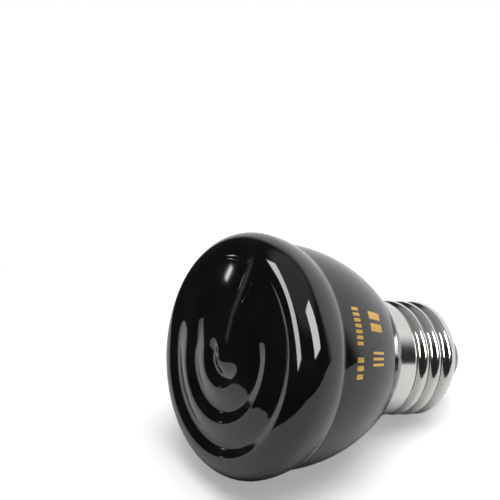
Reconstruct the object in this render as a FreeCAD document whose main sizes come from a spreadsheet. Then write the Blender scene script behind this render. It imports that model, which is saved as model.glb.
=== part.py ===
"""Ceramic heat emitter with an E27 screw cap, lying on its tapered rear and its cap.

A fired ceramic bulb has the heating wire baked into it, and rounded rings swirl over its front.
The neck is cemented into a rolled screw shell, which is closed by an insulator with the centre
contact. Two leads run from the ceramic through the bore of the neck to the cap.

The lamp's own frame has its origin in the seam between the two halves of the bulb, +Z out of the
face and +Y up. Every piece is turned and lifted from that frame into the resting pose.
"""

import FreeCAD, Part
import Sketcher
import math
import os
import re

SIZES = {
    # ceramic bulb
    "body_radius": 26.7,
    "edge_radius": 5.9,
    "edge_height": 6.4,
    "face_height": 13.6,
    "seam_radius": 24.9,
    "seam_lip": 0.25,
    "flank_radius": 26.4,
    "flank_height": 3.0,
    "rear_radius_1": 24.2,
    "rear_drop_1": 7.02,
    "rear_radius_2": 21.99,
    "rear_drop_2": 13.86,
    "rear_radius_3": 18.53,
    "rear_drop_3": 20.17,
    "rear_length": 25.1,
    "shoulder_radius": 14.3,
    "neck_radius": 10.8,
    "neck_length": 12.0,
    # swirl on the face
    "ring_pitch": 6.9,
    "groove_inset": 2.9,
    "groove_floor": 0.7,
    "groove_flare": 2.3,
    "groove_depth": 1.15,
    "groove_over": 0.15,
    "strip_angle": 62.0,
    "strip_twist": 3.0,
    "strip_half": 9.6,
    "strip_root": 3.0,
    # bore of the neck
    "bore_length": 13.5,
    "bore_radius": 6.4,
    # screw cap
    "rim_gap": 0.15,
    "rim_radius": 13.55,
    "rim_length": 0.7,
    "crest_radius": 13.1,
    "sheet": 0.35,
    "root_step": 0.95,
    "thread_end": 16.2,
    "end_drop": 3.9,
    "end_radius": 9.4,
    "bend_radius": 11.65,
    "bend_drop": 2.3,
    "insulator_lip": 0.5,
    "insulator_drop": 4.9,
    "insulator_tip": 5.7,
    "insulator_thick": 1.2,
    "eyelet_radius": 1.2,
    "contact_radius": 4.7,
    "contact_thick": 0.6,
    "solder_radius": 3.0,
    "solder_height": 2.1,
    "solder_waist": 2.4,
    "solder_rise": 1.3,
    "solder_tip": 0.8,
    "cement_length": 10.5,
    # leads
    "lead_radius": 0.45,
    "lead_offset": 3.4,
    "lead_depth": 2.5,
    "live_bend": 9.0,
    "neutral_drop": 1.5,
    "sleeve_wall": 0.4,
    "sleeve_length": 8.0,
    "sleeve_start": 1.2,
    "fit_gap": 0.05,
}

GROOVES = 3
FULL_TURN = 360.0
BULB_SEAM = 1.667
NOTHING = 1e-9

doc = FreeCAD.newDocument("ceramic_heat_emitter")
sheet = doc.addObject("Spreadsheet::Sheet", "sizes")
for row, (alias, number) in enumerate(SIZES.items(), start=1):
    sheet.set(f"A{row}", alias)
    sheet.set(f"B{row}", str(number))
    sheet.setAlias(f"B{row}", alias)
doc.recompute()

TERM = re.compile(r"([+-]?)\s*(?:([0-9.]+)\s*\*\s*)?([a-z_]+[0-9]*|[0-9.]+)")


def value(text):
    """Number that a sum of named sizes such as '-rear_length-2*sheet' comes to."""
    total = 0.0
    for sign, factor, name in TERM.findall(text):
        amount = float(sheet.get(name)) if name[0].isalpha() else float(name)
        total += (-1.0 if sign == "-" else 1.0) * (float(factor) if factor else 1.0) * amount
    return total


def bound(text):
    """The same sum as an expression on the sheet."""
    return re.sub(r"([a-z_]+[0-9]*)", r"sizes.\1", text)


def arc_between(start, stop, radius, side):
    """Arc from start to stop that bulges to the right (+1) or left (-1), and its first end's number.

    The arc itself runs anticlockwise, so an edge that bulges to the left is entered at its end 2.
    """
    chord = stop - start
    right = FreeCAD.Vector(chord.y, -chord.x, 0).normalize() * side
    sink = math.sqrt(radius ** 2 - (chord.Length / 2) ** 2)
    centre = (start + stop) / 2 - right * sink
    first, last = (start, stop) if side > 0 else (stop, start)
    angles = [math.atan2(p.y - centre.y, p.x - centre.x) for p in (first, last)]
    if angles[1] < angles[0]:
        angles[1] += 2 * math.pi
    circle = Part.Circle(centre, FreeCAD.Vector(0, 0, 1), radius)
    return Part.ArcOfCircle(circle, *angles), 1 if side > 0 else 2


def dome_radius(start, stop):
    """Radius of a dome that is level at the axis and passes through both ends."""
    across = abs(stop.x - start.x)
    drop = abs(stop.y - start.y)
    return (across ** 2 + drop ** 2) / (2 * drop)


def tie(sketch, kind, number, point, amount, text):
    """Holds a point's distance from the sketch's origin by a sum of sizes."""
    if abs(amount) < NOTHING:
        line = -2 if kind == "DistanceX" else -1
        sketch.addConstraint(Sketcher.Constraint("PointOnObject", number, point, line))
        return
    pair = (-1, 1, number, point) if amount > 0 else (number, point, -1, 1)
    place = sketch.addConstraint(Sketcher.Constraint(kind, *pair, abs(amount)))
    sketch.setExpression(f"Constraints[{place}]", bound(text) if amount > 0 else f"-({bound(text)})")


def turned_body(name, corners, arcs=None, sweep=FULL_TURN, seam=0.0):
    """Body of revolution about Z from a half profile, or the first sweep degrees of it.

    The profile's plane is turned seam degrees about Z, which moves the surface's seam only.

    corners are (radius, height) sums of sizes in order. arcs maps the edge after a corner to its
    (radius, side): side +1 bulges to the right of the edge's way, -1 to the left. An arc with no
    radius is a dome, square to the axis.
    """
    arcs = arcs or {}
    body = doc.addObject("PartDesign::Body", name)
    sketch = body.newObject("Sketcher::SketchObject", name + "_profile")
    plane = [f for f in body.Origin.OriginFeatures if f.Role == "XZ_Plane"][0]
    sketch.AttachmentSupport = [(plane, "")]
    sketch.MapMode = "FlatFace"
    sketch.AttachmentOffset = FreeCAD.Placement(FreeCAD.Vector(), FreeCAD.Rotation(FreeCAD.Vector(0, 1, 0), seam))
    spots = [FreeCAD.Vector(value(across), value(along), 0) for across, along in corners]
    count = len(corners)
    ends = []
    for index, start in enumerate(spots):
        stop = spots[(index + 1) % count]
        if index in arcs:
            radius, side = arcs[index]
            size = value(radius) if radius else dome_radius(start, stop)
            edge, first = arc_between(start, stop, size, side)
            ends.append((sketch.addGeometry(edge, False), first, 3 - first))
        else:
            ends.append((sketch.addGeometry(Part.LineSegment(start, stop), False), 1, 2))
    for index in range(count):
        number, _, last = ends[index]
        following, first, _ = ends[(index + 1) % count]
        sketch.addConstraint(Sketcher.Constraint("Coincident", number, last, following, first))
    for index, corner in enumerate(corners):
        number, first, _ = ends[index]
        tie(sketch, "DistanceX", number, first, spots[index].x, corner[0])
        tie(sketch, "DistanceY", number, first, spots[index].y, corner[1])
    for index, (radius, _) in arcs.items():
        if not radius:
            sketch.addConstraint(Sketcher.Constraint("PointOnObject", ends[index][0], 3, -2))
            continue
        place = sketch.addConstraint(Sketcher.Constraint("Radius", ends[index][0], value(radius)))
        sketch.setExpression(f"Constraints[{place}]", bound(radius))
    turn = body.newObject("PartDesign::Revolution", name + "_turn")
    turn.Profile = sketch
    turn.ReferenceAxis = (sketch, ["V_Axis"])
    turn.Angle = sweep
    return body


def ceramic_turned():
    """Bulb without its swirl: domed face, rounded edge, flank, tapered rear, neck and bore.

    The rounded edge is a quarter turn in four flats, at the fractions of its radius that 22.5,
    45 and 67.5 degrees give.
    """
    return turned_body("bulb_turned", [
        ("0", "face_height"),
        ("body_radius-edge_radius", "edge_height+edge_radius"),
        ("body_radius-0.6173*edge_radius", "edge_height+0.9239*edge_radius"),
        ("body_radius-0.2929*edge_radius", "edge_height+0.7071*edge_radius"),
        ("body_radius-0.0761*edge_radius", "edge_height+0.3827*edge_radius"),
        ("body_radius", "edge_height"),
        ("flank_radius", "flank_height"),
        ("seam_radius+seam_lip", "0"),
        ("seam_radius", "0"),
        ("rear_radius_1", "-rear_drop_1"),
        ("rear_radius_2", "-rear_drop_2"),
        ("rear_radius_3", "-rear_drop_3"),
        ("shoulder_radius", "-rear_length"),
        ("neck_radius", "-rear_length"),
        ("neck_radius", "-rear_length-neck_length"),
        ("bore_radius", "-rear_length-neck_length"),
        ("bore_radius", BORE_END),
        ("0", BORE_END),
    ], {0: (None, -1)}, seam=BULB_SEAM)


def strip_edges(radius):
    """Angles at which a ring groove of this radius starts and stops, either side of the strip.

    The wire crosses from ring to ring under that strip, so the face stays smooth there.
    """
    middle = value("strip_angle") + value("strip_twist") * radius
    half = math.degrees(value("strip_half") / (radius + value("strip_root")))
    return middle + half, middle - half + FULL_TURN


def groove_tool(number):
    """Cutter of one ring groove: a flat floor between two slopes, with a blunt cone at each end."""
    ring = f"body_radius-edge_radius-groove_inset-{number}*ring_pitch"
    radius = value(ring)
    width = value("body_radius-edge_radius")
    dome = value("face_height-edge_height-edge_radius") * (1 - (radius / width) ** 2)
    low = value("edge_height+edge_radius-groove_depth") + dome
    start, stop = strip_edges(radius)
    floor = f"{low:.4f}"
    top = f"{low:.4f}+groove_depth+groove_over"
    trough = turned_body(f"groove_ring_{number}", [
        (ring + "-groove_floor", floor),
        (ring + "+groove_floor", floor),
        (ring + "+groove_floor+groove_flare", top),
        (ring + "-groove_floor-groove_flare", top),
    ], sweep=stop - start)
    trough.Placement.Rotation = FreeCAD.Rotation(FreeCAD.Vector(0, 0, 1), start)
    pieces = [trough]
    for name, angle in (("start", start), ("stop", stop)):
        end = doc.addObject("Part::Cone", f"groove_{name}_{number}")
        end.setExpression("Radius1", bound("groove_floor"))
        end.setExpression("Radius2", bound("groove_floor+groove_flare"))
        end.setExpression("Height", bound("groove_depth+groove_over"))
        turn = math.radians(angle)
        end.Placement.Base = FreeCAD.Vector(radius * math.cos(turn), radius * math.sin(turn), low)
        pieces.append(end)
    tool = doc.addObject("Part::MultiFuse", f"groove_tool_{number}")
    tool.Shapes = pieces
    return tool


def plug(name, radius, length, across, low):
    """Plain round rod parallel to the axis, for a hole or a core; its sizes are sums."""
    rod = doc.addObject("Part::Cylinder", name)
    rod.setExpression("Radius", bound(radius))
    rod.setExpression("Height", bound(length))
    rod.setExpression("Placement.Base.x", bound(across))
    rod.setExpression("Placement.Base.z", bound(low))
    return rod


def ceramic_body():
    """Bulb with ring grooves in its face and a hole for each lead."""
    cut = ceramic_turned()
    tools = [groove_tool(number) for number in range(GROOVES)]
    for number, tool in enumerate(tools):
        grooved = doc.addObject("Part::Cut", f"bulb_grooved_{number}")
        grooved.Base = cut
        grooved.Tool = tool
        cut = grooved
    holes = doc.addObject("Part::MultiFuse", "lead_holes")
    holes.Shapes = [plug(f"{side}_hole", "lead_radius+fit_gap", "lead_depth+fit_gap", place, BORE_END)
                    for side, place in (("live", "lead_offset"), ("neutral", "-lead_offset"))]
    body = doc.addObject("Part::Cut", "ceramic_body")
    body.Base = cut
    body.Tool = holes
    return body


def screw_shell():
    """Screw shell: rolled lip at the rim, thread zone, and an end curled in over the insulator."""
    inside = "crest_radius-root_step-sheet"
    return turned_body("screw_shell", [
        (inside, RIM),
        ("rim_radius", RIM),
        ("rim_radius", RIM + "-rim_length"),
        ("crest_radius", RIM + "-rim_length"),
        ("crest_radius", THREAD_END),
        ("bend_radius", THREAD_END + "-bend_drop"),
        ("end_radius", SHELL_END),
        ("end_radius-sheet", SHELL_END),
        ("bend_radius-sheet", THREAD_END + "-bend_drop+0.5*sheet"),
        (inside, THREAD_END),
    ])


def base_insulator():
    """Insulator that closes the shell and carries the centre contact on its tip."""
    top = SHELL_END + "+insulator_thick"
    return turned_body("base_insulator", [
        ("eyelet_radius", top),
        ("end_radius-sheet-fit_gap", top),
        ("end_radius-sheet-fit_gap", SHELL_END),
        ("end_radius-insulator_lip", SHELL_END + "-fit_gap"),
        ("insulator_tip", TIP),
        ("eyelet_radius", TIP),
    ])


def centre_contact():
    """Centre contact: a disc on the insulator's tip with a hollow rivet through it."""
    hole = "lead_radius+fit_gap"
    rivet = "eyelet_radius-fit_gap"
    return turned_body("centre_contact", [
        (hole, SHELL_END + "+insulator_thick"),
        (rivet, SHELL_END + "+insulator_thick"),
        (rivet, TIP),
        ("contact_radius", TIP),
        ("contact_radius", DISC),
        (hole, DISC),
    ])


def contact_solder():
    """Drop of solder over the end of the live lead."""
    return turned_body("contact_solder", [
        ("0", DISC),
        ("solder_radius", DISC),
        ("solder_waist", DISC + "-solder_rise"),
        ("solder_tip", DISC + "-solder_height"),
        ("0", DISC + "-solder_height"),
    ])


def neck_cement():
    """Ring of cement that holds the shell on the ceramic neck."""
    inner = "neck_radius+fit_gap"
    outer = "crest_radius-root_step-sheet-fit_gap"
    return turned_body("neck_cement", [
        (inner, RIM + "-rim_length"),
        (outer, RIM + "-rim_length"),
        (outer, RIM + "-cement_length"),
        (inner, RIM + "-cement_length"),
    ])


def lead_sleeve(name, across):
    """Woven glass sleeve on a lead, inside the bore of the neck."""
    low = BORE_END + "-sleeve_start-sleeve_length"
    sleeve = doc.addObject("Part::Cut", name)
    sleeve.Base = plug(name + "_outside", "lead_radius+fit_gap+sleeve_wall", "sleeve_length", across, low)
    sleeve.Tool = plug(name + "_inside", "lead_radius+fit_gap", "sleeve_length", across, low)
    return sleeve


def lead(name, points):
    """Round lead wire along straight runs that start in the ceramic, pointing down."""
    spots = [FreeCAD.Vector(x, 0, z) for x, z in points]
    ring = Part.Wire(Part.Circle(spots[0], FreeCAD.Vector(0, 0, 1), value("lead_radius")).toShape())
    wire = doc.addObject("Part::Feature", name)
    wire.Shape = Part.makePolygon(spots).makePipeShell([ring], True, False, 1)
    return wire


def live_lead():
    """Lead from the ceramic to the centre contact, through the hollow rivet."""
    across = value("lead_offset")
    return lead("live_lead", [
        (across, value(BORE_END + "+lead_depth")),
        (across, value("-rear_length-live_bend")),
        (0.0, value(THREAD_END)),
        (0.0, value(DISC)),
    ])


def neutral_lead():
    """Lead from the ceramic, out under the neck to its weld on the inside of the shell."""
    across = -value("lead_offset")
    low = value("-rear_length-neck_length-neutral_drop")
    wall = -value("crest_radius-root_step-sheet-fit_gap")
    return lead("neutral_lead", [
        (across, value(BORE_END + "+lead_depth")),
        (across, low),
        (wall, low),
    ])


def resting_place():
    """Pose in which the second taper of the rear and the end of the thread lie on the floor."""
    inset = value("rear_radius_1-crest_radius")
    span = value("-rear_drop_1") - value(THREAD_END)
    droop = math.atan2(inset, span)
    height = value("rear_radius_1") * math.cos(droop) + value("rear_drop_1") * math.sin(droop)
    near = (value("body_radius-edge_radius") * math.sin(droop)
            + value("edge_height") * math.cos(droop) + value("edge_radius"))
    far = (value("solder_tip") * math.sin(droop)
           + value("solder_height") * math.cos(droop) - value(DISC) * math.cos(droop))
    return FreeCAD.Placement(FreeCAD.Vector(0, (near - far) / 2, height),
                             FreeCAD.Rotation(FreeCAD.Vector(1, 0, 0), 90 - math.degrees(droop)))


BORE_END = "-rear_length-neck_length+bore_length"
RIM = "-rear_length-rim_gap"
THREAD_END = RIM + "-thread_end"
SHELL_END = THREAD_END + "-end_drop"
TIP = SHELL_END + "-insulator_drop"
DISC = TIP + "-contact_thick"

pieces = {
    "ceramic_body": ceramic_body(),
    "screw_shell": screw_shell(),
    "neck_cement": neck_cement(),
    "base_insulator": base_insulator(),
    "centre_contact": centre_contact(),
    "contact_solder": contact_solder(),
    "live_lead": live_lead(),
    "neutral_lead": neutral_lead(),
    "live_sleeve": lead_sleeve("live_sleeve", "lead_offset"),
    "neutral_sleeve": lead_sleeve("neutral_sleeve", "-lead_offset"),
}
rest = resting_place()
for name, piece in pieces.items():
    piece.Label = name
    piece.Placement = rest
doc.recompute()

for item in doc.Objects:
    if "Invalid" in item.State or "Error" in item.State:
        raise RuntimeError(f"{item.Name} failed to compute")
for name, piece in pieces.items():
    if piece.Shape.isNull() or not piece.Shape.isValid():
        raise RuntimeError(f"{name} has no valid shape")

os.makedirs("parts", exist_ok=True)
for name, piece in pieces.items():
    piece.Shape.exportStep(f"parts/{name}.step")
    print(name, len(piece.Shape.Solids), round(piece.Shape.Volume, 1))
print("resting place", rest)
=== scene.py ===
"""Dresses the ceramic heat emitter: black glazed bulb with its swirl, rolled screw cap and studio.

The lamp's own frame has its origin in the seam between the two halves of the bulb, +Z out of the
face and +Y up, in millimetres. Every new surface is worked out there and then placed.
"""

from __future__ import annotations

import logging
import math
from dataclasses import dataclass, field
from enum import Enum

import bpy
import numpy as np
from mathutils import Matrix, Quaternion, Vector

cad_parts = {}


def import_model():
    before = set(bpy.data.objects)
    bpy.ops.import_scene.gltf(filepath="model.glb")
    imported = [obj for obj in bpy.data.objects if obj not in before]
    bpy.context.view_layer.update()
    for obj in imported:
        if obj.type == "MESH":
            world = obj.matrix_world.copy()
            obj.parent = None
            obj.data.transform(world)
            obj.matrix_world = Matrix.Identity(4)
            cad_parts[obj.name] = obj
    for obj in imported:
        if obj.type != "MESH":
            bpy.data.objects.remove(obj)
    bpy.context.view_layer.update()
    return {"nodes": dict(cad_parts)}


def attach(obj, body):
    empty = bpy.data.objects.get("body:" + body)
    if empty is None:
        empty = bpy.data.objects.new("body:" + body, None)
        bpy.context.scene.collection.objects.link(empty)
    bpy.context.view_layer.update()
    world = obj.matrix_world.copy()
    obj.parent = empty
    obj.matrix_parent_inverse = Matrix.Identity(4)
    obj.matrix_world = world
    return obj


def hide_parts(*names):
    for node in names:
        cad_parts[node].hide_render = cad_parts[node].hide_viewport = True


Colour = tuple[float, float, float]
MM = 0.001
LOG = logging.getLogger("heat_emitter")


class Slot(Enum):
    """Material slots of the record that the new pieces take."""

    GLAZE = "black_glaze"
    SHELL = "shell_metal"


@dataclass(frozen=True)
class LampPose:
    """How the lamp lies: its droop toward the cap, and where the seam's centre is."""

    droop_deg: float = 17.869
    seam_y: float = -16.1338
    seam_z: float = 25.1866

    def place(self, spots: np.ndarray) -> np.ndarray:
        """Turns lamp frame points into the row frame.

        Args:
            spots: points in millimetres, with x, y and z in the last axis.

        Returns:
            The same points in metres, turned about X by a quarter turn less the droop.
        """
        droop = math.radians(self.droop_deg)
        across, up, out = spots[..., 0], spots[..., 1], spots[..., 2]
        along = self.seam_y + up * math.sin(droop) - out * math.cos(droop)
        high = self.seam_z + up * math.cos(droop) + out * math.sin(droop)
        return np.stack([across, along, high], axis=-1) * MM


def smooth(share: np.ndarray) -> np.ndarray:
    """Eases 0 to 1 as 3 t squared less 2 t cubed, held at both ends."""
    held = np.clip(share, 0.0, 1.0)
    return held * held * (3.0 - 2.0 * held)


def ramp(share: np.ndarray, bend: float) -> np.ndarray:
    """Straight rise from 0 to 1 whose ends are rounded as parabolas, held at both ends.

    Args:
        share: how far along the rise each point is.
        bend: share of the rise that each rounded end takes.

    Returns:
        The rise of each point.
    """
    held = np.clip(share, 0.0, 1.0)
    near = np.minimum(held, 1.0 - held)
    rounded = np.where(near < bend, near ** 2 / (2 * bend), near - bend / 2) / (1 - bend)
    return np.where(held < 0.5, rounded, 1.0 - rounded)


def arc_points(centre: tuple[float, float], radius: float, start: float, stop: float,
               count: int) -> np.ndarray:
    """Points of an arc: the centre plus the radius times (cos, sin) of evenly spaced angles.

    Args:
        centre: radius and height of the arc's centre.
        radius: the arc's radius.
        start: first angle in degrees.
        stop: last angle in degrees.
        count: number of points.

    Returns:
        An array of count (radius, height) pairs.
    """
    turn = np.radians(np.linspace(start, stop, count))
    return np.stack([centre[0] + radius * np.cos(turn), centre[1] + radius * np.sin(turn)], axis=-1)


def bulging_arc(start: np.ndarray, stop: np.ndarray, radius: float, count: int) -> np.ndarray:
    """Points of an arc from start to stop that bulges away from the axis.

    Its centre lies behind the chord's middle by the root of radius squared less half chord squared.

    Args:
        start: first (radius, height) pair.
        stop: last (radius, height) pair.
        radius: the arc's radius.
        count: number of points.

    Returns:
        An array of count (radius, height) pairs.
    """
    chord = stop - start
    length = float(np.hypot(*chord))
    outward = np.array([-chord[1], chord[0]]) / length
    centre = (start + stop) / 2 - outward * math.sqrt(radius ** 2 - (length / 2) ** 2)
    first, last = (math.degrees(math.atan2(spot[1] - centre[1], spot[0] - centre[0]))
                   for spot in (start, stop))
    return arc_points((float(centre[0]), float(centre[1])), radius, first, last, count)


def line_points(start: tuple[float, float], stop: tuple[float, float], count: int) -> np.ndarray:
    """Evenly spaced points from start to stop, without start itself."""
    share = np.linspace(0.0, 1.0, count + 1)[1:, None]
    return np.array(start) * (1 - share) + np.array(stop) * share


def ring_rows(profile: np.ndarray, turns: int) -> np.ndarray:
    """Sweeps a profile round the axis: x is r cos a, y is r sin a, z stays.

    Args:
        profile: (radius, height) pairs, one a row.
        turns: number of points round the axis.

    Returns:
        Points of shape (rows, turns, 3).
    """
    angle = np.linspace(0.0, 2.0 * math.pi, turns, endpoint=False)
    radius = profile[:, 0][:, None]
    height = np.broadcast_to(profile[:, 1][:, None], (len(profile), turns))
    return np.stack([radius * np.cos(angle), radius * np.sin(angle), height], axis=-1)


def grid_faces(rows: int, columns: int, closed: bool) -> np.ndarray:
    """Quads of a grid of points that are numbered row after row.

    Args:
        rows: number of rows.
        columns: number of points in a row.
        closed: whether the last column joins the first.

    Returns:
        Four point numbers a quad.
    """
    down, across = np.meshgrid(np.arange(rows - 1), np.arange(columns if closed else columns - 1),
                               indexing="ij")
    beside = (across + 1) % columns
    corners = [down * columns + across, (down + 1) * columns + across,
               (down + 1) * columns + beside, down * columns + beside]
    return np.stack(corners, axis=-1).reshape(-1, 4)


def make_piece(name: str, points: np.ndarray, faces: list[list[int]], sharp_deg: float) -> bpy.types.Object:
    """Makes a smooth shaded mesh object whose place is in its mesh.

    Args:
        name: the piece's name.
        points: vertices in metres, in the row frame.
        faces: vertex numbers of each face, outward.
        sharp_deg: edges that bend more than this stay sharp.

    Returns:
        The new object, linked to the scene.
    """
    mesh = bpy.data.meshes.new(name)
    mesh.from_pydata(points.reshape(-1, 3).tolist(), [], faces)
    mesh.polygons.foreach_set("use_smooth", np.ones(len(mesh.polygons), dtype=bool))
    mesh.set_sharp_from_angle(angle=math.radians(sharp_deg))
    mesh.update()
    piece = bpy.data.objects.new(name, mesh)
    bpy.context.scene.collection.objects.link(piece)
    return piece


class Shading:
    """A new node material, with short ways to add and join its nodes."""

    def __init__(self, name: str) -> None:
        """Makes an empty principled material.

        Args:
            name: the material's name.
        """
        self.material = bpy.data.materials.new(name)
        self.material.use_nodes = True
        self.tree = self.material.node_tree
        self.surface = self.tree.nodes["Principled BSDF"]
        self.place = self.tree.nodes.new("ShaderNodeTexCoord")

    def join(self, source: bpy.types.NodeSocket, target: bpy.types.NodeSocket) -> None:
        """Links one socket to another."""
        self.tree.links.new(source, target)

    def noise(self, scale: float, detail: float, stretch: tuple[float, float, float] = (1, 1, 1),
              coordinate: str = "Object") -> bpy.types.NodeSocket:
        """Noise on the piece's own coordinates.

        Args:
            scale: cells per metre.
            detail: octaves.
            stretch: factors of the three axes.
            coordinate: output of Texture Coordinate to read.

        Returns:
            The noise value's socket.
        """
        mapping = self.tree.nodes.new("ShaderNodeMapping")
        mapping.inputs["Scale"].default_value = stretch
        self.join(self.place.outputs[coordinate], mapping.inputs["Vector"])
        cells = self.tree.nodes.new("ShaderNodeTexNoise")
        cells.inputs["Scale"].default_value = scale
        cells.inputs["Detail"].default_value = detail
        self.join(mapping.outputs["Vector"], cells.inputs["Vector"])
        return cells.outputs["Fac"]

    def blend(self, share: bpy.types.NodeSocket, low: Colour, high: Colour,
              start: float = 0.35, stop: float = 0.65) -> bpy.types.NodeSocket:
        """Colour that runs from low to high as share runs from start to stop.

        Args:
            share: socket that steers the colour.
            low: colour up to start.
            high: colour from stop on.
            start: share at which the change begins.
            stop: share at which it ends.

        Returns:
            The colour's socket.
        """
        band = self.tree.nodes.new("ShaderNodeValToRGB")
        for element, position, colour in zip(band.color_ramp.elements, (start, stop), (low, high)):
            element.position = position
            element.color = (*colour, 1.0)
        self.join(share, band.inputs["Fac"])
        return band.outputs["Color"]

    def mixed(self, attribute: str, colour: bpy.types.NodeSocket, other: Colour) -> bpy.types.NodeSocket:
        """Colour that gives way to another one by the share in a mesh attribute.

        Args:
            attribute: name of the mesh attribute.
            colour: socket of the colour at share 0.
            other: colour at share 1.

        Returns:
            The mixed colour's socket.
        """
        mark = self.tree.nodes.new("ShaderNodeAttribute")
        mark.attribute_name = attribute
        mix = self.tree.nodes.new("ShaderNodeMix")
        mix.data_type = "RGBA"
        first, second = [socket for socket in mix.inputs if socket.type == "RGBA"]
        self.join(mark.outputs["Fac"], mix.inputs["Factor"])
        self.join(colour, first)
        second.default_value = (*other, 1.0)
        return [socket for socket in mix.outputs if socket.type == "RGBA"][0]

    def span(self, share: bpy.types.NodeSocket, low: float, high: float) -> bpy.types.NodeSocket:
        """Number that runs from low to high as share runs from 0.3 to 0.7.

        Args:
            share: socket that steers the number.
            low: number at the low end.
            high: number at the high end.

        Returns:
            The number's socket.
        """
        spread = self.tree.nodes.new("ShaderNodeMapRange")
        limits = {"From Min": 0.3, "From Max": 0.7, "To Min": low, "To Max": high}
        for socket, number in limits.items():
            spread.inputs[socket].default_value = number
        self.join(share, spread.inputs["Value"])
        return spread.outputs["Result"]

    def bump(self, height: bpy.types.NodeSocket, depth: float, strength: float = 1.0,
             under: bpy.types.NodeSocket | None = None) -> bpy.types.NodeSocket:
        """Bump of a height, over another bump where one is given.

        Args:
            height: socket of the height, from 0 to 1.
            depth: the full range of the height in metres.
            strength: how much of the bump shows.
            under: normal of the bump below it.

        Returns:
            The normal's socket.
        """
        node = self.tree.nodes.new("ShaderNodeBump")
        node.inputs["Strength"].default_value = strength
        node.inputs["Distance"].default_value = depth
        self.join(height, node.inputs["Height"])
        if under is not None:
            self.join(under, node.inputs["Normal"])
        return node.outputs["Normal"]


@dataclass(frozen=True)
class GlazeFinish:
    """Black fired glaze: deep gloss with a slow wave, a few softer patches and a painted highlight where
    the mesh attribute says.
    """

    name: str = "black_glaze_fired"
    deep: Colour = (0.0045, 0.0045, 0.005)
    worn: Colour = (0.009, 0.0085, 0.0085)
    # painted highlight: the pale grey that the glaze takes along the seam and the face's ridge
    painted_highlight: Colour = (0.24, 0.235, 0.225)
    rough_low: float = 0.045
    rough_high: float = 0.075
    ior: float = 1.6
    wave_scale: float = 120.0
    wave_depth: float = 0.00003
    peel_scale: float = 900.0
    peel_depth: float = 0.0000012

    def material(self) -> bpy.types.Material:
        """Builds the glaze.

        Returns:
            The new material.
        """
        shade = Shading(self.name)
        wave = shade.noise(self.wave_scale, 1.0)
        peel = shade.noise(self.peel_scale, 2.0)
        # painted highlight: the glaze turns pale grey by the mesh attribute along the seam and the ridge
        colour = shade.mixed("painted_highlight_share", shade.blend(wave, self.deep, self.worn), self.painted_highlight)
        shade.join(colour, shade.surface.inputs["Base Color"])
        shade.join(shade.span(wave, self.rough_low, self.rough_high), shade.surface.inputs["Roughness"])
        shade.surface.inputs["IOR"].default_value = self.ior
        slow = shade.bump(wave, self.wave_depth, 0.5)
        shade.join(shade.bump(peel, self.peel_depth, 1.0, slow), shade.surface.inputs["Normal"])
        return shade.material


@dataclass(frozen=True)
class MetalFinish:
    """Plated or bare metal with fine scuffs and a patchy polish."""

    name: str
    bright: Colour
    dull: Colour
    rough_low: float
    rough_high: float
    grain_scale: float = 400.0
    grain_stretch: tuple[float, float, float] = (1.0, 1.0, 1.0)
    grain_depth: float = 0.000004
    patch_scale: float = 90.0
    coordinate: str = "Object"
    shaded_by: str = ""
    # painted shade: darker colour laid into the hollows that the mesh attribute marks
    painted_shade: Colour = (0.4, 0.39, 0.375)

    def material(self) -> bpy.types.Material:
        """Builds the metal, with painted shade where the mesh's own attribute says how deep it lies.

        Returns:
            The new material.
        """
        shade = Shading(self.name)
        patch = shade.noise(self.patch_scale, 3.0)
        grain = shade.noise(self.grain_scale, 4.0, self.grain_stretch, self.coordinate)
        colour = shade.blend(patch, self.dull, self.bright)
        # painted shade: the colour darkens by the mesh attribute, deepest in the thread roots
        if self.shaded_by:
            colour = shade.mixed(self.shaded_by, colour, self.painted_shade)
        shade.join(colour, shade.surface.inputs["Base Color"])
        shade.surface.inputs["Metallic"].default_value = 1.0
        shade.join(shade.span(grain, self.rough_low, self.rough_high), shade.surface.inputs["Roughness"])
        shade.join(shade.bump(grain, self.grain_depth, 0.6), shade.surface.inputs["Normal"])
        return shade.material


@dataclass(frozen=True)
class MattFinish:
    """Matt or half gloss stuff with a grain, such as cement or pressed ceramic."""

    name: str
    low: Colour
    high: Colour
    rough: float
    grain_scale: float
    grain_depth: float

    def material(self) -> bpy.types.Material:
        """Builds the stuff.

        Returns:
            The new material.
        """
        shade = Shading(self.name)
        grain = shade.noise(self.grain_scale, 5.0)
        shade.join(shade.blend(grain, self.low, self.high), shade.surface.inputs["Base Color"])
        shade.surface.inputs["Roughness"].default_value = self.rough
        shade.join(shade.bump(grain, self.grain_depth, 0.8), shade.surface.inputs["Normal"])
        return shade.material


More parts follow.
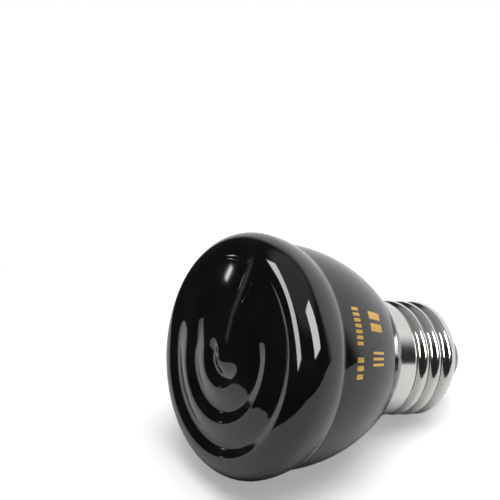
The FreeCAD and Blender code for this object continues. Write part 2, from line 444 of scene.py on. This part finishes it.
@dataclass(frozen=True)
class WovenFinish:
    """Woven glass sleeve: two crossing sets of fine ribs."""

    name: str = "woven_glass"
    thread: Colour = (0.86, 0.84, 0.79)
    gap: Colour = (0.55, 0.52, 0.46)
    rib_scale: float = 300.0
    rib_turn_deg: float = 35.0
    rib_depth: float = 0.00008
    rough: float = 0.85

    def material(self) -> bpy.types.Material:
        """Builds the weave.

        Returns:
            The new material.
        """
        shade = Shading(self.name)
        weave = []
        for turn in (math.radians(self.rib_turn_deg), -math.radians(self.rib_turn_deg)):
            mapping = shade.tree.nodes.new("ShaderNodeMapping")
            mapping.inputs["Rotation"].default_value = (turn, 0.0, 0.0)
            shade.join(shade.place.outputs["Object"], mapping.inputs["Vector"])
            ribs = shade.tree.nodes.new("ShaderNodeTexWave")
            ribs.bands_direction = "Z"
            ribs.inputs["Scale"].default_value = self.rib_scale
            shade.join(mapping.outputs["Vector"], ribs.inputs["Vector"])
            weave.append(ribs.outputs["Fac"])
        crossing = shade.tree.nodes.new("ShaderNodeMath")
        crossing.operation = "MAXIMUM"
        shade.join(weave[0], crossing.inputs[0])
        shade.join(weave[1], crossing.inputs[1])
        height = crossing.outputs["Value"]
        shade.join(shade.blend(height, self.gap, self.thread, 0.3, 0.8), shade.surface.inputs["Base Color"])
        shade.surface.inputs["Roughness"].default_value = self.rough
        shade.join(shade.bump(height, self.rib_depth), shade.surface.inputs["Normal"])
        return shade.material


@dataclass
class CeramicBulb:
    """The glazed bulb: swirled face, rounded edge, flank, seam and domed rear."""

    pose: LampPose
    finish: GlazeFinish = field(default_factory=GlazeFinish)
    turns: int = 400
    face_rows: int = 144
    body_radius: float = 26.7
    edge_radius: float = 5.9
    edge_height: float = 6.4
    face_rise: float = 1.5
    flank_bulge: float = 14.0
    seam_radius: float = 24.9
    seam_lip: float = 0.25
    lip_round: float = 0.5
    lip_stop_deg: float = -60.0
    rear_inset: float = 0.02
    rear_drop: float = 0.08
    rear_bulge: float = 37.7
    rear_length: float = 25.1
    shoulder_radius: float = 14.3
    neck_radius: float = 10.8
    neck_length: float = 12.0
    bore_radius: float = 6.4
    bore_length: float = 13.5
    swirl_radius: float = 23.4
    crest_radii: tuple[float, ...] = (0.0, 6.5, 14.3, 21.8)
    spiral_start: float = 82.0
    spiral_level: float = 177.0
    spiral_gain: float = 0.0115
    groove_depth: float = 1.0
    shallow_share: float = 0.3
    bend_share: float = 0.25
    steep_share: float = 0.4
    strip_starts: tuple[float, ...] = (90.0, 48.0, 14.0, 14.0)
    strip_stops: tuple[float, ...] = (150.0, 130.0, 128.0, 128.0)
    start_fade: float = 6.0
    stop_fade_deg: float = 60.0
    ridge_up: tuple[float, ...] = (2.5, 6.2, 9.6, 16.1, 21.1, 24.7)
    ridge_across: tuple[float, ...] = (1.3, 0.6, 0.1, 0.35, 0.1, -1.1)
    ridge_height: float = 0.15
    ridge_half: float = 0.55
    ridge_start_fade: float = 3.0
    ridge_stop_fade: float = 2.5
    # painted highlight: height and half width of the pale band at the seam, and the ridge's share of it
    highlight_height: float = 0.2
    highlight_half: float = 0.42
    ridge_highlight: float = 0.3

    @property
    def face_radius(self) -> float:
        """Radius at which the face turns into the rounded edge."""
        return self.body_radius - self.edge_radius

    def face_height(self, across: np.ndarray, up: np.ndarray) -> np.ndarray:
        """Height of the face over the seam plane.

        A shallow dome that runs into the rounded edge, less ring grooves. Inside each crest the
        wall drops over the steep share of the way to the next crest and climbs back over the rest,
        both as straight ramps with rounded ends. The crests draw in a little as they go clockwise,
        and the grooves are shallower beside and above the middle than below it. They fade out
        at a smooth strip, each between its own two angles, and a low ridge runs down that strip.

        Args:
            across: x of each point.
            up: y of each point.

        Returns:
            z of each point.
        """
        radius = np.hypot(across, up)
        angle = np.degrees(np.arctan2(up, across))
        fall = np.maximum(radius - self.face_radius, 0.0)
        edge = np.sqrt(self.edge_radius ** 2 - np.minimum(fall, self.edge_radius) ** 2)
        rise = self.face_rise * (1 - (np.minimum(radius, self.face_radius) / self.face_radius) ** 2)
        dome = self.edge_height + edge + rise
        turned = (self.spiral_start - angle) % 360.0
        drawn = radius + self.spiral_gain * (turned - self.spiral_level)
        order = np.arange(len(self.crest_radii))[::-1]
        place = np.interp(drawn, self.crest_radii, order)
        share = place % 1.0
        steep = ramp(share / self.steep_share, self.bend_share)
        slope = 1 - ramp((share - self.steep_share) / (1 - self.steep_share), self.bend_share)
        groove = np.where(share < self.steep_share, steep, slope)
        start = np.array(self.strip_starts)[place.astype(int)]
        stop = np.array(self.strip_stops)[place.astype(int)]
        aside = (angle - (start + stop) / 2 + 180.0) % 360.0 - 180.0
        beyond = np.abs(aside) - (stop - start) / 2
        sudden = np.radians(beyond) * np.maximum(radius, 1.0) / self.start_fade
        depth = smooth(np.where(aside < 0, sudden, beyond / self.stop_fade_deg))
        beside = np.where(up > 0, 1.0, np.cos(np.radians(angle)) ** 2)
        deep = self.groove_depth * (1 - self.shallow_share * beside)
        return dome - deep * groove * depth + self.ridge_height * self.ridge_share(across, up)

    def ridge_share(self, across: np.ndarray, up: np.ndarray) -> np.ndarray:
        """Share of the strip's ridge: a bell across its line, faded out at both ends of the line.

        The bell is e to the minus square of the distance from the line over the half width.

        Args:
            across: x of each point.
            up: y of each point.

        Returns:
            0 off the ridge to 1 on its middle.
        """
        middle = np.interp(up, self.ridge_up, self.ridge_across)
        bell = np.exp(-((across - middle) / self.ridge_half) ** 2)
        inward = self.swirl_radius - np.hypot(across, up)
        started = smooth((up - self.ridge_up[0]) / self.ridge_start_fade)
        return bell * started * smooth(inward / self.ridge_stop_fade)

    def side_profile(self) -> np.ndarray:
        """Profile from the rounded edge to the end of the bore, as arcs and straight runs.

        Returns:
            (radius, height) pairs in order, without the face.
        """
        top = math.degrees(math.acos((self.swirl_radius - self.face_radius) / self.edge_radius))
        edge = arc_points((self.face_radius, self.edge_height), self.edge_radius, top, 0.0, 20)
        flank_start = np.array([self.body_radius, self.edge_height])
        flank_stop = np.array([self.seam_radius + self.seam_lip, self.lip_round])
        flank = bulging_arc(flank_start, flank_stop, self.flank_bulge, 12)[1:]
        lip_centre = (self.seam_radius + self.seam_lip - self.lip_round, self.lip_round)
        lip = arc_points(lip_centre, self.lip_round, 0.0, self.lip_stop_deg, 8)[1:]
        low = -self.rear_length - self.neck_length
        runs = [(self.neck_radius, -self.rear_length), (self.neck_radius, low), (self.bore_radius, low),
                (self.bore_radius, low + self.bore_length)]
        corner = (self.shoulder_radius, -self.rear_length)
        tail = []
        for run, count in zip(runs, (2, 3, 2, 3)):
            tail.append(line_points(corner, run, count))
            corner = run
        return np.concatenate([edge, flank, lip, self.rear_arc(56), *tail])

    def rear_arc(self, count: int) -> np.ndarray:
        """Arc of the rear dome, from under the lip to the shoulder.

        Args:
            count: number of points.

        Returns:
            (radius, height) pairs.
        """
        start = np.array([self.seam_radius - self.rear_inset, -self.rear_drop])
        stop = np.array([self.shoulder_radius, -self.rear_length])
        return bulging_arc(start, stop, self.rear_bulge, count)

    def build(self) -> bpy.types.Object:
        """Builds the bulb, which stands for the plain bulb of the frame.

        The glaze's pale attribute is painted highlight: a bell over the seam's height, and a share of the
        ridge on the face.

        Returns:
            The bulb's object.
        """
        reach = np.linspace(0.0, self.swirl_radius, self.face_rows + 1)[1:-1]
        face = ring_rows(np.stack([reach, reach * 0.0], axis=-1), self.turns)
        face[..., 2] = self.face_height(face[..., 0], face[..., 1])
        rows = np.concatenate([face, ring_rows(self.side_profile(), self.turns)])
        count = rows.shape[0]
        centre = np.array([[0.0, 0.0, float(self.face_height(np.zeros(1), np.zeros(1))[0])]])
        bottom = np.array([[0.0, 0.0, -self.rear_length - self.neck_length + self.bore_length]])
        points = np.concatenate([rows.reshape(-1, 3), centre, bottom])
        column = np.arange(self.turns)
        beside = (column + 1) % self.turns
        top = np.stack([np.full(self.turns, count * self.turns), column, beside], axis=-1)
        last = (count - 1) * self.turns
        end = np.stack([last + column, np.full(self.turns, count * self.turns + 1), last + beside], axis=-1)
        faces = grid_faces(count, self.turns, True).tolist() + top.tolist() + end.tolist()
        piece = make_piece("glazed_bulb", self.pose.place(points), faces, 40.0)
        # painted highlight: a pale band over the seam's height, plus a share along the face's ridge
        painted_highlight = np.exp(-((points[:, 2] - self.highlight_height) / self.highlight_half) ** 2)
        front = points[:, 2] > self.edge_height
        painted_highlight += self.ridge_highlight * front * self.ridge_share(points[:, 0], points[:, 1])
        mark = piece.data.attributes.new("painted_highlight_share", "FLOAT", "POINT")
        mark.data.foreach_set("value", painted_highlight.astype(np.float32))
        piece.data.materials.append(self.finish.material())
        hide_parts("ceramic_body")
        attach(piece, "root")
        return piece


@dataclass
class ScrewShell:
    """The rolled screw shell: lip, plain collar, round-bottomed right-hand thread and curled end."""

    pose: LampPose
    turns: int = 288
    rows: int = 250
    rim_depth: float = 25.25
    rim_radius: float = 13.55
    rim_length: float = 0.7
    crest_radius: float = 13.1
    thread_depth: float = 0.95
    pitch: float = 3.629
    arc_radius: float = 1.025
    flank_slope_deg: float = 43.9
    first_root: float = 29.3
    root_turns: float = 3.35
    root_fade: float = 0.14
    first_turn_deg: float = -60.0
    thread_end: float = 41.45
    end_depth: float = 45.35
    end_radius: float = 9.4
    end_bulge: float = 7.0
    sheet: float = 0.35

    def finish(self) -> MetalFinish:
        """Bright nickel with faint rolling lines round the shell, and painted shade in the thread roots."""
        return MetalFinish("nickel_shell", (0.72, 0.715, 0.7), (0.62, 0.615, 0.6), 0.08, 0.16,
                           6.0, (1.0, 60.0, 1.0), 0.000006, coordinate="UV", shaded_by="painted_root_shade")

    def rounded_groove(self, offset: np.ndarray) -> np.ndarray:
        """Depth of the thread under its crest, for a distance from the root along the axis.

        The crest and the root are arcs of the same radius, joined by a straight flank.

        Args:
            offset: distance from the nearest root's middle, at most half the pitch.

        Returns:
            Depth below the crest circle, from the full depth at the root to zero at the crest.
        """
        slope = math.radians(self.flank_slope_deg)
        bend = self.arc_radius * math.sin(slope)
        root_rise = self.arc_radius - np.sqrt(np.maximum(self.arc_radius ** 2 - offset ** 2, 0.0))
        aside = self.pitch / 2 - offset
        crest_drop = self.arc_radius - np.sqrt(np.maximum(self.arc_radius ** 2 - aside ** 2, 0.0))
        flank = self.thread_depth / 2 - (offset - self.pitch / 4) * math.tan(slope)
        depth = np.where(offset < bend, self.thread_depth - root_rise, flank)
        return np.where(aside < bend, crest_drop, depth)

    def thread_drop(self, angle: np.ndarray, depth: np.ndarray) -> np.ndarray:
        """How far the wall lies inside the crest circle at each angle and depth.

        The root is a right-hand helix that starts below the collar and fades in and out over part
        of a turn. Each point belongs to the nearest turn of it.

        Args:
            angle: angle of each point in radians.
            depth: distance of each point behind the seam.

        Returns:
            The drop at each point.
        """
        lead = (np.degrees(angle) - self.first_turn_deg) / 360.0
        lead = -lead % 1.0
        along = (depth - self.first_root) / self.pitch
        whole = np.clip(np.round(along - lead), 0.0, math.floor(self.root_turns))
        turn = whole + lead
        turn = np.where(turn > self.root_turns + self.root_fade, turn - 1.0, turn)
        offset = np.minimum(np.abs(along - turn) * self.pitch, self.pitch / 2)
        fade = smooth(turn / self.root_fade) * smooth((self.root_turns - turn) / self.root_fade)
        return self.rounded_groove(offset) * fade

    def outside(self) -> np.ndarray:
        """Outer wall: the lip, then the collar and thread by formula, then the curled end.

        Returns:
            Points of shape (rows, turns, 3).
        """
        angle = np.linspace(0.0, 2.0 * math.pi, self.turns, endpoint=False)
        lip = arc_points((self.rim_radius - self.rim_length / 2, -self.rim_depth - self.rim_length / 2),
                         self.rim_length / 2, 90.0, -60.0, 9)
        wall = np.linspace(self.rim_depth + self.rim_length, self.thread_end, self.rows)
        radius = self.crest_radius - self.thread_drop(angle[None, :], wall[:, None])
        threaded = np.stack([radius * np.cos(angle), radius * np.sin(angle),
                             np.broadcast_to(-wall[:, None], radius.shape)], axis=-1)
        start = np.array([self.crest_radius, -self.thread_end])
        stop = np.array([self.end_radius, -self.end_depth])
        curl = bulging_arc(start, stop, self.end_bulge, 16)[1:]
        return np.concatenate([ring_rows(lip, self.turns), threaded, ring_rows(curl, self.turns)])

    def inside(self) -> np.ndarray:
        """Plain inner wall, from the curled end back to the lip.

        Returns:
            Points of shape (rows, turns, 3).
        """
        bore = self.crest_radius - self.thread_depth - self.sheet
        start = np.array([bore, -self.thread_end])
        stop = np.array([self.end_radius - self.sheet, -self.end_depth])
        curl = bulging_arc(start, stop, self.end_bulge, 10)[::-1]
        rim = line_points((bore, -self.thread_end), (bore, -self.rim_depth), 6)
        return ring_rows(np.concatenate([curl, rim]), self.turns)

    def build(self) -> bpy.types.Object:
        """Builds the shell, which stands for the plain shell of the frame.

        The shade attribute is the share of the thread's depth at each point of the outer wall; it steers
        painted shade that darkens the thread roots.

        Returns:
            The shell's object.
        """
        outside = self.outside()
        rows = np.concatenate([outside, self.inside()])
        rows = np.concatenate([rows, rows[:1]])
        count = rows.shape[0]
        faces = grid_faces(count, self.turns, True) % ((count - 1) * self.turns)
        points = self.pose.place(rows[:-1].reshape(-1, 3))
        piece = make_piece("threaded_shell", points, faces.tolist(), 50.0)
        self.unwrap(piece, count - 1)
        # painted shade mask: share of the thread's depth on the outer wall, darkest in the roots
        radius = np.hypot(rows[:-1, :, 0], rows[:-1, :, 1])
        sunk = np.clip((self.crest_radius - radius) / self.thread_depth, 0.0, 1.0)
        walled = (rows[:-1, :, 2] > -self.thread_end) & (np.arange(count - 1)[:, None] < len(outside))
        mark = piece.data.attributes.new("painted_root_shade", "FLOAT", "POINT")
        mark.data.foreach_set("value", (sunk * walled).astype(np.float32).ravel())
        piece.data.materials.append(self.finish().material())
        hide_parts("screw_shell")
        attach(piece, "root")
        return piece

    def unwrap(self, piece: bpy.types.Object, rows: int) -> None:
        """Writes a UV map: the turn round the axis across, the row's number upward.

        Args:
            piece: the shell's object.
            rows: number of rows of its points.
        """
        mesh = piece.data
        corner = np.empty(len(mesh.loops), dtype=np.int64)
        mesh.loops.foreach_get("vertex_index", corner)
        column = (corner % self.turns) / self.turns
        seam = np.arange(len(corner)) % 4 >= 2
        column = np.where(seam & (column == 0.0), 1.0, column)
        uv = np.stack([column, (corner // self.turns) / rows], axis=-1)
        mesh.uv_layers.new(name="UVMap").data.foreach_set("uv", uv.astype(np.float32).ravel())


@dataclass(frozen=True)
class BarRow:
    """Equal bars in a row round the dome: depths behind the seam, then angles in degrees."""

    near: float
    far: float
    first: float
    width: float
    pitch: float
    count: int


@dataclass
class GoldMarks:
    """Two rows of plain gold bars, fired on the rear dome beside the seam."""

    pose: LampPose
    bulb: CeramicBulb
    rows: tuple[BarRow, ...] = (
        BarRow(3.8, 6.1, 50.5, 2.1, 2.96, 7),
        BarRow(3.8, 6.1, 25.0, 2.9, 4.1, 3),
        BarRow(8.8, 13.6, 50.0, 5.1, 6.7, 2),
        BarRow(8.8, 13.6, 28.0, 1.6, 3.1, 3),
    )
    proud: float = 0.02
    steps: int = 8

    def dome_radius(self, depth: np.ndarray) -> np.ndarray:
        """Radius of the rear dome at a depth behind the seam, from its arc."""
        arc = self.bulb.rear_arc(200)
        return np.interp(depth, -arc[:, 1], arc[:, 0])

    def build(self) -> bpy.types.Object:
        """Builds every bar as a thin sheet whose border dips under the glaze.

        Returns:
            The object of all the bars.
        """
        patches, faces = [], []
        lift = np.full((self.steps, self.steps), -self.proud)
        lift[1:-1, 1:-1] = self.proud
        for row in self.rows:
            for start in row.first - row.pitch * np.arange(row.count):
                angle, depth = np.meshgrid(np.radians(np.linspace(start, start - row.width, self.steps)),
                                           np.linspace(row.near, row.far, self.steps), indexing="ij")
                radius = self.dome_radius(depth) + lift
                patch = np.stack([radius * np.cos(angle), radius * np.sin(angle), -depth], axis=-1)
                faces.append(grid_faces(self.steps, self.steps, False)[:, ::-1] + lift.size * len(patches))
                patches.append(patch.reshape(-1, 3))
        piece = make_piece("gold_marks", self.pose.place(np.concatenate(patches)),
                           np.concatenate(faces).tolist(), 60.0)
        finish = MetalFinish("fired_gold", (0.83, 0.56, 0.16), (0.62, 0.38, 0.09), 0.3, 0.5, 1500.0)
        piece.data.materials.append(finish.material())
        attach(piece, "root")
        return piece


@dataclass(frozen=True)
class CapFittings:
    """The frame's own pieces of the cap and neck, each with its finish."""

    def finishes(self) -> dict[str, MetalFinish | MattFinish | WovenFinish]:
        """Finish of each node that stays as the frame made it.

        Returns:
            Finishes by the node's name.
        """
        wire = MetalFinish("lead_nickel", (0.72, 0.71, 0.68), (0.6, 0.59, 0.56), 0.2, 0.35, 900.0)
        weave = WovenFinish()
        pressed = MattFinish("black_insulator", (0.012, 0.011, 0.013), (0.03, 0.028, 0.032),
                             0.22, 500.0, 0.00001)
        cement = MattFinish("neck_cement_grey", (0.5, 0.46, 0.39), (0.66, 0.62, 0.54),
                            0.93, 900.0, 0.00012)
        plate = MetalFinish("contact_plate", (0.74, 0.72, 0.66), (0.6, 0.57, 0.5), 0.2, 0.38, 700.0)
        solder = MetalFinish("solder_drop", (0.66, 0.66, 0.67), (0.5, 0.5, 0.52), 0.28, 0.45,
                             350.0, grain_depth=0.00006)
        return {
            "base_insulator": pressed,
            "centre_contact": plate,
            "contact_solder": solder,
            "neck_cement": cement,
            "live_lead": wire,
            "neutral_lead": wire,
            "live_sleeve": weave,
            "neutral_sleeve": weave,
        }

    def dress(self, nodes: dict[str, bpy.types.Object]) -> None:
        """Gives each node its finish, and makes each finish once.

        Args:
            nodes: the frame's objects by the node's name.
        """
        made: dict[str, bpy.types.Material] = {}
        for name, finish in self.finishes().items():
            if finish.name not in made:
                made[finish.name] = finish.material()
            node = nodes[name]
            for place in node.material_slots:
                place.material = made[finish.name]
            LOG.info("dressed %s with %s", name, finish.name)


@dataclass(frozen=True)
class SoftBox:
    """One rectangular lamp, placed by the direction in which the object sees it."""

    name: str
    azimuth_deg: float
    height_deg: float
    distance: float
    width: float
    tall: float
    watts: float
    roll_deg: float = 0.0
    in_gloss: bool = True
    in_matt: bool = True

    def build(self, target: Vector) -> None:
        """Hangs the lamp and turns it to the target; azimuth 0 is +X and 90 is +Y.

        Args:
            target: the spot that it faces.
        """
        azimuth, height = math.radians(self.azimuth_deg), math.radians(self.height_deg)
        level = math.cos(height)
        away = Vector((math.cos(azimuth) * level, math.sin(azimuth) * level, math.sin(height)))
        light = bpy.data.lights.new(self.name, "AREA")
        light.shape = "RECTANGLE"
        light.size, light.size_y, light.energy = self.width, self.tall, self.watts
        lamp = bpy.data.objects.new(self.name, light)
        lamp.location = target + away * self.distance
        roll = Quaternion((0.0, 0.0, 1.0), math.radians(self.roll_deg))
        lamp.rotation_euler = (away.to_track_quat("Z", "Y") @ roll).to_euler()
        lamp.visible_camera = False
        lamp.visible_glossy = self.in_gloss
        lamp.visible_diffuse = self.in_matt
        bpy.context.scene.collection.objects.link(lamp)


@dataclass
class Studio:
    """Pale floor, light surround and lamps."""

    floor_left: float = -0.112
    floor_right: float = 0.32
    floor_front: float = -0.135
    floor_back: float = 0.36
    floor_points: int = 13
    floor_colour: float = 0.86
    floor_speck: float = 0.01
    floor_rough: float = 0.9
    floor_lift: float = 0.34
    dark: float = 0.03
    light: float = 1.0
    overhead: float = 0.35
    light_azimuth_deg: float = 113.0
    side_step: tuple[float, float] = (0.5, 0.7)
    height_step: tuple[float, float] = (0.8, 0.5)
    zenith_step: tuple[float, float] = (0.68, 0.86)
    aim_height: float = 0.025
    boxes: tuple[SoftBox, ...] = (
        SoftBox("overhead_fill", 60.0, 80.0, 1.1, 1.0, 1.0, 12.0, in_gloss=False),
        SoftBox("front_panel", -98.4, 41.3, 0.9, 1.2, 0.26, 8.0, -26.8, in_matt=False),
        SoftBox("side_panel", 12.0, 46.5, 0.9, 0.42, 0.72, 9.0, in_matt=False),
        SoftBox("low_slit", -142.5, 2.4, 0.9, 0.016, 0.035, 0.016, in_matt=False),
    )

    def floor(self) -> bpy.types.Object:
        """Level floor as a grid of points at height zero.

        Returns:
            The floor's object.
        """
        count = self.floor_points
        across = np.linspace(self.floor_left, self.floor_right, count)
        along = np.linspace(self.floor_front, self.floor_back, count)
        points = np.stack([*np.meshgrid(across, along), np.zeros((count, count))], axis=-1)
        floor = make_piece("studio_floor", points, grid_faces(count, count, False).tolist(), 60.0)
        floor.data.materials.append(self.floor_material())
        return floor

    def floor_material(self) -> bpy.types.Material:
        """Matt pale floor that is a little lighter to the camera's own rays.

        Returns:
            The floor's material.
        """
        shade = Shading("pale_floor")
        speck = shade.noise(600.0, 3.0)
        low, high = (self.floor_colour - self.floor_speck,) * 3, (self.floor_colour,) * 3
        shade.join(shade.blend(speck, low, high), shade.surface.inputs["Base Color"])
        shade.surface.inputs["Roughness"].default_value = self.floor_rough
        shade.surface.inputs["Specular IOR Level"].default_value = 0.1
        path = shade.tree.nodes.new("ShaderNodeLightPath")
        lift = shade.tree.nodes.new("ShaderNodeMath")
        lift.operation = "MULTIPLY"
        lift.inputs[1].default_value = self.floor_lift
        shade.join(path.outputs["Is Camera Ray"], lift.inputs[0])
        shade.surface.inputs["Emission Color"].default_value = (1.0, 1.0, 1.0, 1.0)
        shade.join(lift.outputs["Value"], shade.surface.inputs["Emission Strength"])
        return shade.material

    def surround(self) -> None:
        """World that is white to the camera, light on one side near the horizon and dark elsewhere.

        The light share is an eased step of the direction's part along the light side, times an
        eased step down with its height. A dim share comes in again toward the zenith.
        """
        world = bpy.data.worlds.new("studio_surround")
        world.use_nodes = True
        bpy.context.scene.world = world
        tree = world.node_tree
        tree.nodes.clear()
        place = tree.nodes.new("ShaderNodeTexCoord")
        aim = tree.nodes.new("ShaderNodeVectorMath")
        aim.operation = "DOT_PRODUCT"
        side = math.radians(self.light_azimuth_deg)
        aim.inputs[1].default_value = (math.cos(side), math.sin(side), 0.0)
        tree.links.new(place.outputs["Generated"], aim.inputs[0])
        split = tree.nodes.new("ShaderNodeSeparateXYZ")
        tree.links.new(place.outputs["Generated"], split.inputs["Vector"])
        steps = []
        for source, (start, stop) in ((aim.outputs["Value"], self.side_step),
                                      (split.outputs["Z"], self.height_step),
                                      (split.outputs["Z"], self.zenith_step)):
            ease = tree.nodes.new("ShaderNodeMapRange")
            ease.interpolation_type = "SMOOTHSTEP"
            ease.inputs["From Min"].default_value = start
            ease.inputs["From Max"].default_value = stop
            tree.links.new(source, ease.inputs["Value"])
            steps.append(ease.outputs["Result"])
        both = tree.nodes.new("ShaderNodeMath")
        both.operation = "MULTIPLY"
        tree.links.new(steps[0], both.inputs[0])
        tree.links.new(steps[1], both.inputs[1])
        level = tree.nodes.new("ShaderNodeMapRange")
        level.inputs["To Min"].default_value = self.dark
        level.inputs["To Max"].default_value = self.light
        tree.links.new(both.outputs["Value"], level.inputs["Value"])
        zenith = tree.nodes.new("ShaderNodeMath")
        zenith.operation = "MULTIPLY_ADD"
        zenith.inputs[1].default_value = self.overhead
        tree.links.new(steps[2], zenith.inputs[0])
        tree.links.new(level.outputs["Result"], zenith.inputs[2])
        path = tree.nodes.new("ShaderNodeLightPath")
        seen = tree.nodes.new("ShaderNodeMix")
        seen.data_type = "FLOAT"
        tree.links.new(path.outputs["Is Camera Ray"], seen.inputs["Factor"])
        tree.links.new(zenith.outputs["Value"], seen.inputs["A"])
        seen.inputs["B"].default_value = 1.0
        sky = tree.nodes.new("ShaderNodeBackground")
        sky.inputs["Color"].default_value = (1.0, 1.0, 1.0, 1.0)
        tree.links.new(seen.outputs["Result"], sky.inputs["Strength"])
        out = tree.nodes.new("ShaderNodeOutputWorld")
        tree.links.new(sky.outputs["Background"], out.inputs["Surface"])

    def build(self) -> None:
        """Lays the floor, sets the surround and hangs the lamps."""
        self.floor()
        self.surround()
        for box in self.boxes:
            box.build(Vector((0.0, 0.0, self.aim_height)))


@dataclass(frozen=True)
class PhotoCamera:
    """Camera at the photograph's angle, placed from the seam's centre in millimetres."""

    pose: LampPose
    azimuth_deg: float = 57.698
    height_deg: float = 26.684
    right: float = 4.539
    down: float = 23.109
    forward: float = 358.338
    lens: float = 118.8
    sensor: float = 36.0

    def build(self) -> bpy.types.Object:
        """Makes the camera: right and up span the picture, and it looks against back.

        Returns:
            The camera's object.
        """
        azimuth, height = math.radians(self.azimuth_deg), math.radians(self.height_deg)
        level = math.cos(height)
        back = Vector((math.sin(azimuth) * level, -math.cos(azimuth) * level, math.sin(height)))
        right = Vector((math.cos(azimuth), math.sin(azimuth), 0.0))
        up = back.cross(right)
        seam = Vector((0.0, self.pose.seam_y, self.pose.seam_z))
        place = (seam - right * self.right + up * self.down + back * self.forward) * MM
        data = bpy.data.cameras.new("photo_camera")
        data.lens, data.sensor_width, data.sensor_fit = self.lens, self.sensor, "HORIZONTAL"
        data.clip_start, data.clip_end = 0.01, 20.0
        camera = bpy.data.objects.new("photo_camera", data)
        turn = Matrix((right, up, back)).transposed().to_4x4()
        camera.matrix_world = Matrix.Translation(place) @ turn
        bpy.context.scene.collection.objects.link(camera)
        bpy.context.scene.camera = camera
        return camera


def main() -> None:
    """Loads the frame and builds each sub-assembly in order."""
    logging.basicConfig(level=logging.INFO, format="%(message)s")
    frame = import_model()
    pose = LampPose()
    PhotoCamera(pose).build()
    bulb = CeramicBulb(pose)
    for piece in (bulb.build(), ScrewShell(pose).build(), GoldMarks(pose, bulb).build()):
        LOG.info("built %s with %d faces", piece.name, len(piece.data.polygons))
    CapFittings().dress(frame["nodes"])
    Studio().build()
    bpy.context.scene.view_settings.view_transform = "Standard"


if __name__ == "__main__":
    main()
